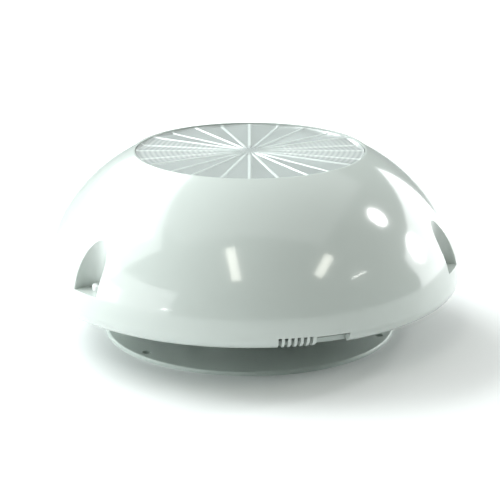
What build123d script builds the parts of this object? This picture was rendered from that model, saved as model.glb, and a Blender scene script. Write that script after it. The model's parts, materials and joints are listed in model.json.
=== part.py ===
from build123d import *
import os
from math import acos, atan2, cos, degrees, hypot, radians, sin, tan

# Dome-shaped horn strobe, in millimetres. Z is up, away from the wall, and the origin is the centre
# of the base plate's back. Azimuths are in degrees, from the front (-Y) towards +X.

# Cover
cover_radius = 115.0
cover_height = 101.0
cover_wall = 3.0
crown_bulge = 5.16
crown_edge = 1.4
shoulder_height = 56.0
shoulder_inset = 5.2
belt_height = 42.5
belt_inset = 0.6
rim_round = 7.0
rim_centre_height = 33.3
rim_lip = 5.7
comb_azimuth = 7.5
comb_slots = 6
comb_step = 1.6
comb_slot_width = 1.7
comb_slot_height = 32.8
rim_gap_azimuth = 21.4
rim_gap_width = 18.0
rim_gap_height = 32.4

# Cover screws in their pockets
fixing_azimuth = -48.0
fixing_count = 3
pocket_radius = 9.0
pocket_wall = 2.5
pocket_round = 1.0
pocket_inset = 5.0
pocket_floor = 44.0
screw_inset = 10.0
cover_screw_radius = 1.5
cover_screw_length = 16.0
cover_screw_head = 3.1
cover_screw_head_height = 2.4
cover_boss_radius = 3.6
washer_thickness = 0.8
post_gap = 4.0

# Strobe lens
lens_radius = 62.0
lens_thickness = 3.2
lens_recess = 0.5
lens_gap = 0.25
lens_ledge = 2.05
ledge_chamfer = 0.6
ledge_thickness = 2.4
gasket_thickness = 0.6
skirt_wall = 1.8
skirt_gap = 0.6
skirt_bead = 0.4
skirt_bead_height = 1.0
skirt_depth = 6.6
flute_count = 12
flute_depth = 1.1
ring_count = 14
ring_margin = 1.2
ring_depth = 1.0
ring_start = 16.0
hub_radius = 8.0
hub_depth = 1.5
retainer_rise = 1.5
retainer_overlap = 1.0
retainer_split = 8.0

# Base plate
flange_radius = 79.6
flange_thickness = 2.2
flange_round = 1.0
mount_circle = 74.0
mount_hole_radius = 2.35
drum_radius = 41.5
drum_wall = 2.5
drum_height = 36.0
column_radius = 4.5
column_height = 33.8
column_hole_depth = 22.0
throat_boss_radius = 3.2
throat_hole_depth = 12.0
conduit_azimuth = 162.0
conduit_reach = 7.8
conduit_radius = 8.0
conduit_bore = 6.5
conduit_seal_thickness = 0.6
conduit_rise = 8.0
cable_hole_radius = 5.5
lead_slot_width = 8.0
lead_slot_floor = 3.0
grommet_plug = 6.0
grommet_head = 1.6
grommet_round = 0.7
grommet_hole = 3.0
seal_groove_inner = 62.0
seal_groove_width = 4.0
seal_groove_depth = 1.0

# Chassis ring, sound screen and horn bell
ring_height = 27.0
ring_thickness = 2.5
mouth_radius = 80.0
screen_thickness = 0.6
screen_rows = ((58.5, 67.0), (69.0, 77.5))
slots_in_row = 40
screen_slot_width = 3.0
ring_edge_gap = 1.0
flange_screw_count = 6
bell_wall = 2.2
bell_flange = 9.0
bell_cap_radius = 15.0
bell_cap_height = 61.0
bell_waist_radius = 41.0
bell_waist_height = 46.5
bell_boss_radius = 5.0
bell_boss_top = 50.0
bell_screw_radius = 1.75
bell_screw_length = 34.0
bell_screw_head = 3.4
bell_screw_head_height = 2.4
spacer_boss_drop = 4.0

# Compression driver
throat_radius = 9.0
throat_mouth = 11.0
throat_lip = 1.6
throat_top = 52.0
throat_flange = 2.8
chamber_height = 4.0
chamber_roof_thickness = 2.0
plug_share = 0.62
plug_length = 11.0
plug_tip = 0.6
plug_fin = 1.2
plug_fin_height = 4.0
plug_fins = 3
driver_floor = 8.0
yoke_thickness = 4.0
yoke_step = 0.5
pole_radius = 12.0
magnet_inner = 15.0
magnet_outer = 27.5
magnet_thickness = 10.0
plate_thickness = 5.0
plate_radius = 33.8
gap_width = 1.2
seat_thickness = 3.0
seat_inner = 19.0
surround_thickness = 0.6
coil_clearance = 0.45
former_thickness = 0.15
coil_thickness = 0.35
coil_length = 6.0
diaphragm_rise = 3.6
diaphragm_thickness = 0.35
surround_gap = 0.3
roll_outer = 17.0
driver_screw_circle = 30.6
small_screw_radius = 1.4
small_head_radius = 2.6
small_head_height = 1.8
small_hole_depth = 5.0
driver_hole_depth = 7.0
throat_screw_length = 18.0
board_screw_length = 7.0
board_hole_depth = 8.0
throat_screw_circle = 37.6

# Strobe unit
strobe_board_radius = 42.0
board_thickness = 1.6
reflector_side_gap = 2.8
reflector_depth = 18.0
reflector_wall = 1.2
reflector_sag = 0.46
reflector_gap = 5.0
holder_radius = 12.4
holder_height = 5.0
holder_foot = 2.6
holder_spigot = 4.0
holder_socket = 3.0
dish_flat = 4.3
dish_lip = 1.2
spacer_circle = 37.0
spacer_radius = 3.0
tube_radius = 2.6
tube_span = 12.0
tube_rise = 12.0
tube_inset = 1.2
flash_capacitor_circle = 33.5
flash_capacitor_azimuth = 195.0
flash_capacitor_radius = 3.7
flash_capacitor_length = 22.0
trigger_circle = 30.0
trigger_azimuth = 310.0
trigger_radius = 4.2
trigger_height = 7.4
trigger_cheek = 1.1
trigger_wire = 0.5

# Siren board and what stands on it
siren_board_inner = 64.0
siren_board_outer = 96.0
siren_board_start = 100.0
siren_board_sweep = 150.0
standoff_height = 10.5
standoff_radius = 3.0
standoff_circle = 93.0
standoff_azimuths = (108.0, 148.0, 176.0, 242.0)
lead_radius = 0.6
lead_bend = 3.5
lead_floor = 9.0
lead_fall_radius = 70.0
strobe_lead_azimuth = 150.0
terminal_azimuth = 128.0
terminal_radius = 80.0
terminal_ways = 6
terminal_pitch = 5.0
terminal_depth = 8.0
terminal_height = 10.0
terminal_well = 1.9
terminal_well_depth = 3.0
terminal_mouth = 3.0
transformer_radius = 80.0
transformer_azimuth = 186.0
core_size = (18.0, 22.0, 16.0)
bobbin_size = (22.0, 13.0, 10.0)
bobbin_lift = 3.0
capacitor_circle = 78.0
capacitor_azimuths = (205.0, 216.5)
capacitor_radius = 6.3
capacitor_height = 20.0
body_round = 0.8
transistor_radius = 78.0
transistor_azimuth = 233.0
transistor_size = (4.5, 10.0, 15.0)
transistor_pitch = 16.0
sink_plate = 2.0
sink_width = 34.0
sink_height = 24.0
sink_fins = 7
sink_fin_pitch = 5.0
sink_fin_size = (4.0, 1.2)

# Tamper switch
tamper_azimuth = 12.0
tamper_radius = 95.0
switch_length = 20.0
switch_width = 7.0
switch_height = 16.0
switch_foot = 4.5
plunger_radius = 1.6
collar_radius = 2.2
collar_thickness = 1.5
chamber_lift = 4.0
chamber_cap = 3.5
spring_wire = 0.2
spring_pitch = 0.9

# Fits
running_fit = 0.1
loose_fit = 0.3
touch_gap = 0.1
cut_over = 0.01

# Worked-out places
column_circle = drum_radius + column_radius - 1.0
conduit_circle = drum_radius + conduit_reach
conduit_top = bell_waist_height + conduit_rise
pocket_circle = cover_radius - pocket_inset
screw_circle = cover_radius - screw_inset
rim_mouth_radius = cover_radius - rim_lip
rim_centre_radius = cover_radius - rim_round
rim_sweep = degrees(acos((rim_mouth_radius - rim_centre_radius) / rim_round))
lens_top = cover_height - lens_recess
lens_under = lens_top - lens_thickness
lens_seat = lens_under - gasket_thickness
lens_bore = lens_radius + lens_gap
lens_opening = lens_bore - lens_ledge
skirt_outer = lens_opening - skirt_gap
skirt_bottom = lens_under - skirt_depth
skirt_inner = skirt_outer - skirt_wall
ring_pitch = (skirt_inner - ring_margin - ring_start) / ring_count
reflector_radius = skirt_inner - reflector_side_gap
ring_top = ring_height + ring_thickness
screen_top = ring_top + screen_thickness
cover_boss_foot = ring_top + post_gap
ring_outer = rim_mouth_radius - ring_edge_gap
bell_flange_radius = mouth_radius + bell_flange
magnet_floor = driver_floor + yoke_thickness
plate_floor = magnet_floor + magnet_thickness
plate_top = plate_floor + plate_thickness
seat_top = plate_top + seat_thickness
driver_top = seat_top + surround_thickness
gap_outer = pole_radius + gap_width
drum_bore = drum_radius - drum_wall
throat_seat = drum_height + gasket_thickness
throat_shoulder = throat_seat + throat_flange
reflector_top = lens_under - reflector_gap
reflector_floor = reflector_top - reflector_depth
strobe_board_top = reflector_floor - holder_height
strobe_board_floor = strobe_board_top - board_thickness
siren_board_floor = ring_top + standoff_height
siren_board_top = siren_board_floor + board_thickness
switch_floor = ring_top + switch_foot
switch_top = switch_floor + switch_height
plunger_top = switch_top + 1.0

os.makedirs("parts", exist_ok=True)


def place(radius, azimuth):
    """The point at this distance from the axis and this azimuth."""
    return (radius * sin(radians(azimuth)), -radius * cos(radians(azimuth)))


def ring_places(radius, count, azimuth):
    """Evenly spaced points on a circle, the first at the given azimuth."""
    return [place(radius, azimuth + 360 / count * step) for step in range(count)]


def facing(radius, azimuth, height):
    """A plane at this place, with X pointing outwards and Z up."""
    direction = place(1, azimuth)
    x, y = place(radius, azimuth)
    return Plane(origin=(x, y, height), x_dir=(direction[0], direction[1], 0), z_dir=(0, 0, 1))


def write_piece(piece, name):
    """Label a finished piece and write it."""
    piece.part.label = name
    export_step(piece.part, f"parts/{name}.step")


def turned(points, name):
    """A piece turned about the Z axis from the corners of half its section."""
    with BuildPart() as piece:
        with BuildSketch(Plane.XZ):
            with BuildLine():
                Polyline(*points, close=True)
            make_face()
        revolve(axis=Axis.Z)
    write_piece(piece, name)


def screws(name, places, seat, shank_radius, shank_length, head_radius, head_height, up=True):
    """Pan-head cross-recess screws: heads sit on the seat height, and the shanks run away from it."""
    side = 1 if up else -1
    recess_depth = head_height * 0.55
    with BuildPart() as piece:
        for x, y in places:
            head_plane = Plane(origin=(x, y, seat), z_dir=(0, 0, side))
            with BuildSketch(head_plane):
                Circle(head_radius)
            extrude(amount=head_height)
            with BuildSketch(head_plane):
                Circle(shank_radius)
            extrude(amount=-shank_length)
        heads = piece.faces().filter_by(Axis.Z).sort_by(Axis.Z)
        crowns = heads[-len(places):] if up else heads[:len(places)]
        fillet(crowns.edges(), radius=head_height * 0.35)
        for x, y in places:
            top_plane = Plane(origin=(x, y, seat + side * head_height), z_dir=(0, 0, side))
            with BuildSketch(top_plane):
                Rectangle(head_radius * 1.15, head_radius * 0.26)
                Rectangle(head_radius * 0.26, head_radius * 1.15)
            extrude(amount=-recess_depth, mode=Mode.SUBTRACT)
    write_piece(piece, name)


# Outline of the cover's skin, from the lens edge down to the lip of the rim
crown_start = (lens_radius + crown_edge, cover_height)
shoulder = (cover_radius - shoulder_inset, shoulder_height)
belt_top = (cover_radius - belt_inset, belt_height)
crown_run = shoulder[0] - crown_start[0]
crown_drop = crown_start[1] - shoulder[1]
crown_chord = hypot(crown_run, crown_drop)
crown_middle = (
    crown_start[0] + crown_run / 2 + crown_bulge * crown_drop / crown_chord,
    crown_start[1] - crown_drop / 2 + crown_bulge * crown_run / crown_chord,
)
crown_slope = atan2(crown_drop, crown_run)
crown_turn = 2 * atan2(2 * crown_bulge, crown_chord)
start_slope = crown_slope - crown_turn
end_slope = crown_slope + crown_turn
belt_slope = atan2(belt_height - rim_centre_height, belt_inset)


def inside(point, slope, inset):
    """The point that lies this far under a point of the skin, square to its slope."""
    return (point[0] - inset * sin(slope), point[1] - inset * cos(slope))


def at_pocket_mouth(edge):
    """Whether an edge lies where a pocket's wall breaks out through the skin."""
    middle = edge @ 0.5
    nearest = min(hypot(middle.X - x, middle.Y - y) for x, y in pocket_places)
    return edge.geom_type == GeomType.BSPLINE and abs(nearest - pocket_radius) < touch_gap


def rim_point(sweep, inset):
    """A point on the rounding of the rim, or on a concentric line inside it."""
    reach = rim_round - inset
    return (
        rim_centre_radius + reach * cos(radians(sweep)),
        rim_centre_height - reach * sin(radians(sweep)),
    )


def draw_cover_outline(inset):
    """The cover's line at a depth in its wall, drawn in the open line builder; gives back its ends."""
    start = inside(crown_start, start_slope, inset)
    turn_point = inside(shoulder, end_slope, inset)
    belt_start = inside(belt_top, belt_slope, inset)
    end = rim_point(rim_sweep, inset)
    Spline(start, inside(crown_middle, crown_slope, inset), turn_point,
           tangents=[(cos(start_slope), -sin(start_slope)), (cos(end_slope), -sin(end_slope))])
    TangentArc(turn_point, belt_start, tangent=(cos(end_slope), -sin(end_slope)))
    Line(belt_start, rim_point(0, inset))
    ThreePointArc(rim_point(0, inset), rim_point(rim_sweep / 2, inset), end)
    return start, end


# Everything inside the middle of the cover's wall, which trims what is joined to the wall
with BuildPart() as cover_core:
    with BuildSketch(Plane.XZ):
        with BuildLine():
            core_start, core_end = draw_cover_outline(cover_wall / 2)
            Polyline(core_end, (0, core_end[1]), (0, core_start[1]), core_start)
        make_face()
    revolve(axis=Axis.Z)

# Walls of the screw pockets, the tamper post and the bosses under the pocket floors
pocket_places = ring_places(pocket_circle, fixing_count, fixing_azimuth)
with BuildPart() as cover_insides:
    with BuildSketch(Plane.XY.offset(pocket_floor - pocket_wall)):
        with Locations(*pocket_places):
            Circle(pocket_radius + pocket_wall)
    extrude(amount=cover_height)
    with BuildSketch(Plane.XY.offset(plunger_top + touch_gap)):
        with Locations(place(tamper_radius, tamper_azimuth)):
            Circle(plunger_radius * 2)
    extrude(amount=cover_height)
    add(cover_core.part, mode=Mode.INTERSECT)
    with BuildSketch(Plane.XY.offset(cover_boss_foot)):
        with Locations(*ring_places(screw_circle, fixing_count, fixing_azimuth)):
            Circle(cover_boss_radius)
    extrude(amount=pocket_floor - cover_boss_foot - pocket_wall / 2)

with BuildPart() as dome_cover:
    with BuildSketch(Plane.XZ):
        with BuildLine():
            skin_start, skin_end = draw_cover_outline(0)
            wall_start, wall_end = draw_cover_outline(cover_wall)
            Line(skin_start, wall_start)
            Line(skin_end, wall_end)
        make_face()
        with BuildLine():
            Polyline(
                (lens_opening, lens_seat - ledge_thickness),
                (crown_start[0] + cover_wall, lens_seat - ledge_thickness),
                (crown_start[0] + cover_wall, lens_seat),
                (crown_start[0] + ledge_chamfer, cover_height - ledge_chamfer),
                (crown_start[0], cover_height),
                (lens_opening, cover_height),
                close=True,
            )
        make_face()
    revolve(axis=Axis.Z)
    add(cover_insides.part)
    with BuildSketch(Plane.XY.offset(lens_seat)):
        Circle(lens_bore)
    extrude(amount=cover_height, mode=Mode.SUBTRACT)
    with BuildSketch(Plane.XY.offset(pocket_floor)):
        with Locations(*pocket_places):
            Circle(pocket_radius)
    extrude(amount=cover_height, mode=Mode.SUBTRACT)
    fillet([edge for edge in dome_cover.edges() if at_pocket_mouth(edge)], radius=pocket_round)
    with BuildSketch(Plane.XY.offset(cover_boss_foot)):
        with Locations(*ring_places(screw_circle, fixing_count, fixing_azimuth)):
            Circle(cover_screw_radius + running_fit)
    extrude(amount=pocket_floor, mode=Mode.SUBTRACT)
    for slot in range(comb_slots):
        with BuildSketch(facing(rim_mouth_radius, comb_azimuth + comb_step * slot, 0)):
            Rectangle(rim_round * 2, comb_slot_width)
        extrude(amount=comb_slot_height, mode=Mode.SUBTRACT)
    with BuildSketch(facing(rim_mouth_radius, rim_gap_azimuth, 0)):
        Rectangle(rim_round * 2, rim_gap_width)
    extrude(amount=rim_gap_height, mode=Mode.SUBTRACT)
write_piece(dome_cover, "dome_cover")

screws("cover_screws", ring_places(screw_circle, fixing_count, fixing_azimuth),
       pocket_floor + washer_thickness, cover_screw_radius, cover_screw_length,
       cover_screw_head, cover_screw_head_height)

with BuildPart() as cover_screw_washers:
    with BuildSketch(Plane.XY.offset(pocket_floor)):
        with Locations(*ring_places(screw_circle, fixing_count, fixing_azimuth)):
            Circle(cover_screw_head)
            Circle(cover_screw_radius + running_fit / 2, mode=Mode.SUBTRACT)
    extrude(amount=washer_thickness)
write_piece(cover_screw_washers, "cover_screw_washers")

# Lens: rings beneath, flutes on top, and a skirt that the retaining ring grips
with BuildPart() as strobe_lens:
    with BuildSketch(Plane.XZ):
        with BuildLine():
            ring_points = []
            for ring in range(ring_count):
                ring_radius = ring_start + ring_pitch * ring
                ring_points.append((ring_radius, lens_under))
                ring_points.append((ring_radius + ring_pitch / 2, lens_under + ring_depth))
            Polyline(
                (0, lens_top),
                (0, lens_under - hub_depth),
                (hub_radius - hub_depth, lens_under - hub_depth),
                (hub_radius, lens_under),
                *ring_points,
                (ring_start + ring_pitch * ring_count, lens_under),
                (skirt_inner, lens_under),
                (skirt_inner, skirt_bottom),
                (skirt_outer + skirt_bead, skirt_bottom),
                (skirt_outer + skirt_bead, skirt_bottom + skirt_bead_height),
                (skirt_outer, skirt_bottom + skirt_bead_height + skirt_bead),
                (skirt_outer, lens_under),
                (lens_radius, lens_under),
                (lens_radius, lens_top),
                close=True,
            )
        make_face()
    revolve(axis=Axis.Z)
    flute_half = tan(radians(180 / flute_count))
    for flute in range(flute_count):
        for reach in (skirt_outer, hub_radius):
            share = reach / skirt_outer
            turn = 360 / flute_count * (flute + 0.5)
            direction = place(1, turn)
            x, y = place(reach, turn)
            with BuildSketch(Plane(origin=(x, y, lens_top), x_dir=(0, 0, 1),
                                   z_dir=(direction[0], direction[1], 0))):
                with BuildLine():
                    Polyline((cut_over, -reach * flute_half), (-flute_depth * share, 0),
                             (cut_over, reach * flute_half), close=True)
                make_face()
        loft(ruled=True, mode=Mode.SUBTRACT)
write_piece(strobe_lens, "strobe_lens")

turned([(lens_opening + running_fit, lens_seat), (lens_radius - running_fit, lens_seat),
        (lens_radius - running_fit, lens_under), (lens_opening + running_fit, lens_under)], "lens_gasket")

# Split ring that snaps on the skirt under the cover's ledge
retainer_top = lens_seat - ledge_thickness - touch_gap
retainer_thickness = retainer_top - skirt_bottom - retainer_rise
with BuildPart() as lens_retaining_ring:
    with BuildSketch(Plane.XY.offset(retainer_top)):
        Circle(lens_bore + retainer_overlap)
        Circle(skirt_outer + touch_gap, mode=Mode.SUBTRACT)
        with Locations((0, lens_bore)):
            Rectangle(retainer_split, retainer_split, mode=Mode.SUBTRACT)
    extrude(amount=-retainer_thickness)
write_piece(lens_retaining_ring, "lens_retaining_ring")

# Base plate: flange, drum, the columns that carry the horn, and the cable conduit
with BuildPart() as base_plate:
    with BuildSketch():
        Circle(flange_radius)
    extrude(amount=flange_thickness)
    fillet(base_plate.edges().sort_by(Axis.Z)[-1], radius=flange_round)
    with BuildSketch(Plane.XY.offset(flange_thickness)):
        Circle(drum_radius)
        Circle(drum_bore, mode=Mode.SUBTRACT)
    extrude(amount=drum_height - flange_thickness)
    with BuildSketch(Plane.XY.offset(flange_thickness)):
        with Locations(*ring_places(throat_screw_circle, fixing_count, fixing_azimuth + 60)):
            Circle(throat_boss_radius)
    extrude(amount=seat_top - flange_thickness)
    with BuildSketch(Plane.XY.offset(flange_thickness)):
        with Locations(*ring_places(column_circle, fixing_count, fixing_azimuth)):
            Circle(column_radius)
        with Locations(place(conduit_circle, conduit_azimuth)):
            Circle(conduit_radius)
        Circle(drum_radius - drum_wall / 2, mode=Mode.SUBTRACT)
    extrude(amount=column_height - flange_thickness)
    with BuildSketch(Plane.XY.offset(flange_thickness)):
        with Locations(place(conduit_circle, conduit_azimuth)):
            Circle(conduit_bore)
    extrude(amount=column_height, mode=Mode.SUBTRACT)
    with BuildSketch():
        with Locations(place(conduit_circle, conduit_azimuth)):
            Circle(cable_hole_radius)
    extrude(amount=flange_thickness, mode=Mode.SUBTRACT)
    with BuildSketch(facing(drum_radius, conduit_azimuth, flange_thickness + lead_slot_floor)):
        Rectangle(drum_wall * 3, lead_slot_width)
    extrude(amount=lead_slot_width, mode=Mode.SUBTRACT)
    with BuildSketch(Plane.XY.offset(column_height)):
        with Locations(*ring_places(column_circle, fixing_count, fixing_azimuth)):
            Circle(bell_screw_radius + running_fit)
    extrude(amount=-column_hole_depth, mode=Mode.SUBTRACT)
    with BuildSketch(Plane.XY.offset(seat_top)):
        with Locations(*ring_places(throat_screw_circle, fixing_count, fixing_azimuth + 60)):
            Circle(small_screw_radius + running_fit)
    extrude(amount=-throat_hole_depth, mode=Mode.SUBTRACT)
    with BuildSketch():
        with Locations(*ring_places(mount_circle, fixing_count, fixing_azimuth)):
            Circle(mount_hole_radius)
    extrude(amount=flange_thickness, mode=Mode.SUBTRACT)
    with BuildSketch():
        Circle(seal_groove_inner + seal_groove_width)
        Circle(seal_groove_inner, mode=Mode.SUBTRACT)
    extrude(amount=seal_groove_depth, mode=Mode.SUBTRACT)
write_piece(base_plate, "base_plate")

turned([(seal_groove_inner + running_fit, 0), (seal_groove_inner + seal_groove_width - running_fit, 0),
        (seal_groove_inner + seal_groove_width - running_fit, seal_groove_depth),
        (seal_groove_inner + running_fit, seal_groove_depth)], "wall_seal")

# Driver pieces, from the back up
turned([(0, driver_floor), (magnet_outer - yoke_step, driver_floor), (magnet_outer - yoke_step, magnet_floor),
        (pole_radius, magnet_floor), (pole_radius, plate_top), (0, plate_top)], "driver_yoke")
turned([(magnet_inner, magnet_floor), (magnet_outer, magnet_floor),
        (magnet_outer, plate_floor), (magnet_inner, plate_floor)], "driver_magnet")


def drilled_ring(name, inner, outer, floor, thickness):
    """A flat driver ring with the driver screws' clearance holes."""
    with BuildPart() as piece:
        with BuildSketch(Plane.XY.offset(floor)):
            Circle(outer)
            Circle(inner, mode=Mode.SUBTRACT)
            with Locations(*ring_places(driver_screw_circle, fixing_count, fixing_azimuth)):
                Circle(small_screw_radius + running_fit, mode=Mode.SUBTRACT)
        extrude(amount=thickness)
    write_piece(piece, name)


drilled_ring("driver_top_plate", gap_outer, plate_radius, plate_floor, plate_thickness)
drilled_ring("diaphragm_seat", seat_inner, plate_radius, plate_top, seat_thickness)

# Voice coil on its former, and the domed diaphragm that it drives
former_inner = pole_radius + coil_clearance
former_outer = former_inner + former_thickness
coil_outer = former_outer + coil_thickness
coil_middle = (plate_floor + plate_top) / 2
turned([(former_inner, coil_middle - coil_length / 2 - 1), (former_outer, coil_middle - coil_length / 2 - 1),
        (former_outer, coil_middle - coil_length / 2), (coil_outer, coil_middle - coil_length / 2),
        (coil_outer, coil_middle + coil_length / 2), (former_outer, coil_middle + coil_length / 2),
        (former_outer, seat_top), (former_inner, seat_top)], "voice_coil")

diaphragm_edge = coil_outer + 0.2
dome_inner_edge = diaphragm_edge - 0.6
dome_inner_rise = diaphragm_rise - diaphragm_thickness
dome_outer_radius = (diaphragm_edge**2 + dome_inner_rise**2) / 2 / dome_inner_rise
dome_inner_radius = (dome_inner_edge**2 + dome_inner_rise**2) / 2 / dome_inner_rise
with BuildPart() as diaphragm:
    with BuildSketch(Plane.XZ):
        with BuildLine():
            RadiusArc((0, seat_top + diaphragm_rise), (diaphragm_edge, seat_top + diaphragm_thickness),
                      dome_outer_radius)
            Polyline((diaphragm_edge, seat_top + diaphragm_thickness), (diaphragm_edge, seat_top),
                     (dome_inner_edge, seat_top))
            RadiusArc((dome_inner_edge, seat_top), (0, seat_top + dome_inner_rise), -dome_inner_radius)
            Line((0, seat_top + dome_inner_rise), (0, seat_top + diaphragm_rise))
        make_face()
    revolve(axis=Axis.Z)
write_piece(diaphragm, "diaphragm")

# Surround: a clamped rim and a half roll, held at its outer edge
surround_inner = diaphragm_edge + surround_gap
roll_middle = (surround_inner + roll_outer) / 2
roll_radius = (roll_outer - surround_inner) / 2
with BuildPart() as diaphragm_surround:
    with BuildSketch(Plane.XZ):
        with BuildLine():
            Line((plate_radius, driver_top), (roll_outer, driver_top))
            ThreePointArc((roll_outer, driver_top), (roll_middle, driver_top + roll_radius),
                          (surround_inner, driver_top))
            Polyline((surround_inner, driver_top), (surround_inner, seat_top),
                     (surround_inner + surround_thickness / 2, seat_top))
            ThreePointArc((surround_inner + surround_thickness / 2, seat_top),
                          (roll_middle, driver_top + roll_radius - surround_thickness),
                          (roll_outer - surround_thickness / 2, seat_top))
            Polyline((roll_outer - surround_thickness / 2, seat_top), (plate_radius, seat_top),
                     (plate_radius, driver_top))
        make_face()
    revolve(axis=Axis.Z)
    with BuildSketch(Plane.XY.offset(seat_top)):
        with Locations(*ring_places(driver_screw_circle, fixing_count, fixing_azimuth)):
            Circle(small_screw_radius + running_fit)
    extrude(amount=surround_thickness, mode=Mode.SUBTRACT)
write_piece(diaphragm_surround, "diaphragm_surround")

# Throat moulding: compression chamber, throat bore and the cone that the sound folds back over
chamber_radius = roll_outer + 2 * touch_gap
chamber_roof = driver_top + chamber_height
throat_floor = chamber_roof + chamber_roof_thickness
with BuildPart() as throat_horn:
    with BuildSketch(Plane.XZ):
        with BuildLine():
            Polyline(
                (throat_radius, throat_floor),
                (throat_mouth, throat_top),
                (throat_mouth + throat_lip, throat_top),
                (plate_radius, throat_shoulder),
                (drum_radius - running_fit, throat_shoulder),
                (drum_radius - running_fit, throat_seat),
                (drum_bore - loose_fit, throat_seat),
                (drum_bore - loose_fit, driver_top),
                (chamber_radius, driver_top),
                (chamber_radius, chamber_roof),
                close=True,
            )
        make_face()
    revolve(axis=Axis.Z)
    with BuildSketch(Plane.XY.offset(driver_top)):
        with Locations(*ring_places(throat_screw_circle, fixing_count, fixing_azimuth + 60)):
            Circle(small_screw_radius + running_fit)
    extrude(amount=throat_shoulder, mode=Mode.SUBTRACT)
    with BuildSketch(Plane.XY.offset(driver_top)):
        with Locations(*ring_places(driver_screw_circle, fixing_count, fixing_azimuth)):
            Circle(small_screw_radius + running_fit)
    extrude(amount=driver_hole_depth, mode=Mode.SUBTRACT)
write_piece(throat_horn, "throat_horn")

turned([(drum_bore + running_fit, drum_height), (drum_radius - running_fit, drum_height),
        (drum_radius - running_fit, throat_seat), (drum_bore + running_fit, throat_seat)], "drum_gasket")

# Phase plug: a bullet hung in the throat on three fins
plug_radius = throat_radius * plug_share
plug_floor = throat_floor + loose_fit
fin_top = plug_floor + plug_fin_height
with BuildPart() as phase_plug:
    with BuildSketch(Plane.XZ):
        with BuildLine():
            Line((0, plug_floor), (plug_radius, plug_floor))
            Spline((plug_radius, plug_floor), (plug_radius * 2 / 3, plug_floor + plug_length / 2),
                   (plug_tip, plug_floor + plug_length))
            Polyline((plug_tip, plug_floor + plug_length), (0, plug_floor + plug_length), (0, plug_floor))
        make_face()
    revolve(axis=Axis.Z)
    with BuildSketch(Plane.XY.offset(plug_floor)):
        for fin in range(plug_fins):
            with Locations(Rotation(0, 0, 360 / plug_fins * fin)):
                with Locations((throat_radius / 2, 0)):
                    Rectangle(throat_radius, plug_fin)
    extrude(amount=plug_fin_height)
    with BuildSketch(Plane.XZ):
        with BuildLine():
            Polyline((throat_radius, plug_floor), (throat_radius + 1, plug_floor),
                     (throat_radius + 1, fin_top), (throat_radius, fin_top), close=True)
        make_face()
    revolve(axis=Axis.Z, mode=Mode.SUBTRACT)
write_piece(phase_plug, "phase_plug")

driver_screw_length = driver_top - plate_floor + driver_hole_depth - 1
screws("driver_screws", ring_places(driver_screw_circle, fixing_count, fixing_azimuth),
       plate_floor, small_screw_radius, driver_screw_length, small_head_radius, small_head_height, up=False)
screws("throat_screws", ring_places(throat_screw_circle, fixing_count, fixing_azimuth + 60),
       throat_shoulder, small_screw_radius, throat_screw_length, small_head_radius, small_head_height)

# Chassis ring with its screw bosses, the board's standoffs and the tamper switch's foot
flange_screw_circle = mouth_radius + bell_flange / 2 + 1
standoff_places = [place(standoff_circle, azimuth) for azimuth in standoff_azimuths]
with BuildPart() as chassis_ring:
    with BuildSketch(Plane.XY.offset(ring_height)):
        Circle(ring_outer)
        Circle(mouth_radius, mode=Mode.SUBTRACT)
    extrude(amount=ring_thickness)
    with BuildSketch(Plane.XY.offset(ring_top)):
        with Locations(*ring_places(screw_circle, fixing_count, fixing_azimuth)):
            Circle(cover_boss_radius)
        Circle(ring_outer, mode=Mode.INTERSECT)
    extrude(amount=cover_boss_foot - ring_top - touch_gap)
    with BuildSketch(Plane.XY.offset(ring_top)):
        with Locations(*standoff_places):
            Circle(standoff_radius)
    extrude(amount=standoff_height)
    with BuildSketch(facing(tamper_radius, tamper_azimuth, ring_top)):
        Rectangle(switch_width + 2, switch_length + 4)
    extrude(amount=switch_foot)
    with BuildSketch(Plane.XY.offset(ring_height)):
        with Locations(*ring_places(screw_circle, fixing_count, fixing_azimuth)):
            Circle(cover_screw_radius + running_fit)
    extrude(amount=ring_height, mode=Mode.SUBTRACT)
    with BuildSketch(Plane.XY.offset(ring_height)):
        with Locations(*ring_places(flange_screw_circle, flange_screw_count, fixing_azimuth + 30)):
            Circle(small_screw_radius + running_fit)
    extrude(amount=ring_thickness, mode=Mode.SUBTRACT)
    with BuildSketch(Plane.XY.offset(siren_board_floor)):
        with Locations(*standoff_places):
            Circle(small_screw_radius + running_fit)
    extrude(amount=-board_hole_depth, mode=Mode.SUBTRACT)
write_piece(chassis_ring, "chassis_ring")

# Slotted screen over the horn's mouth
with BuildPart() as sound_screen:
    with BuildSketch(Plane.XY.offset(ring_top)):
        Circle(bell_flange_radius)
        Circle(drum_radius + loose_fit, mode=Mode.SUBTRACT)
        with Locations(*ring_places(column_circle, fixing_count, fixing_azimuth)):
            Circle(column_radius + loose_fit, mode=Mode.SUBTRACT)
        with Locations(place(conduit_circle, conduit_azimuth)):
            Circle(conduit_radius + loose_fit, mode=Mode.SUBTRACT)
        for row_start, row_end in screen_rows:
            with PolarLocations((row_start + row_end) / 2, slots_in_row):
                Rectangle(row_end - row_start, screen_slot_width, mode=Mode.SUBTRACT)
        with Locations(*ring_places(flange_screw_circle, flange_screw_count, fixing_azimuth + 30)):
            Circle(small_screw_radius + running_fit, mode=Mode.SUBTRACT)
    extrude(amount=screen_thickness)
write_piece(sound_screen, "sound_screen")

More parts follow.
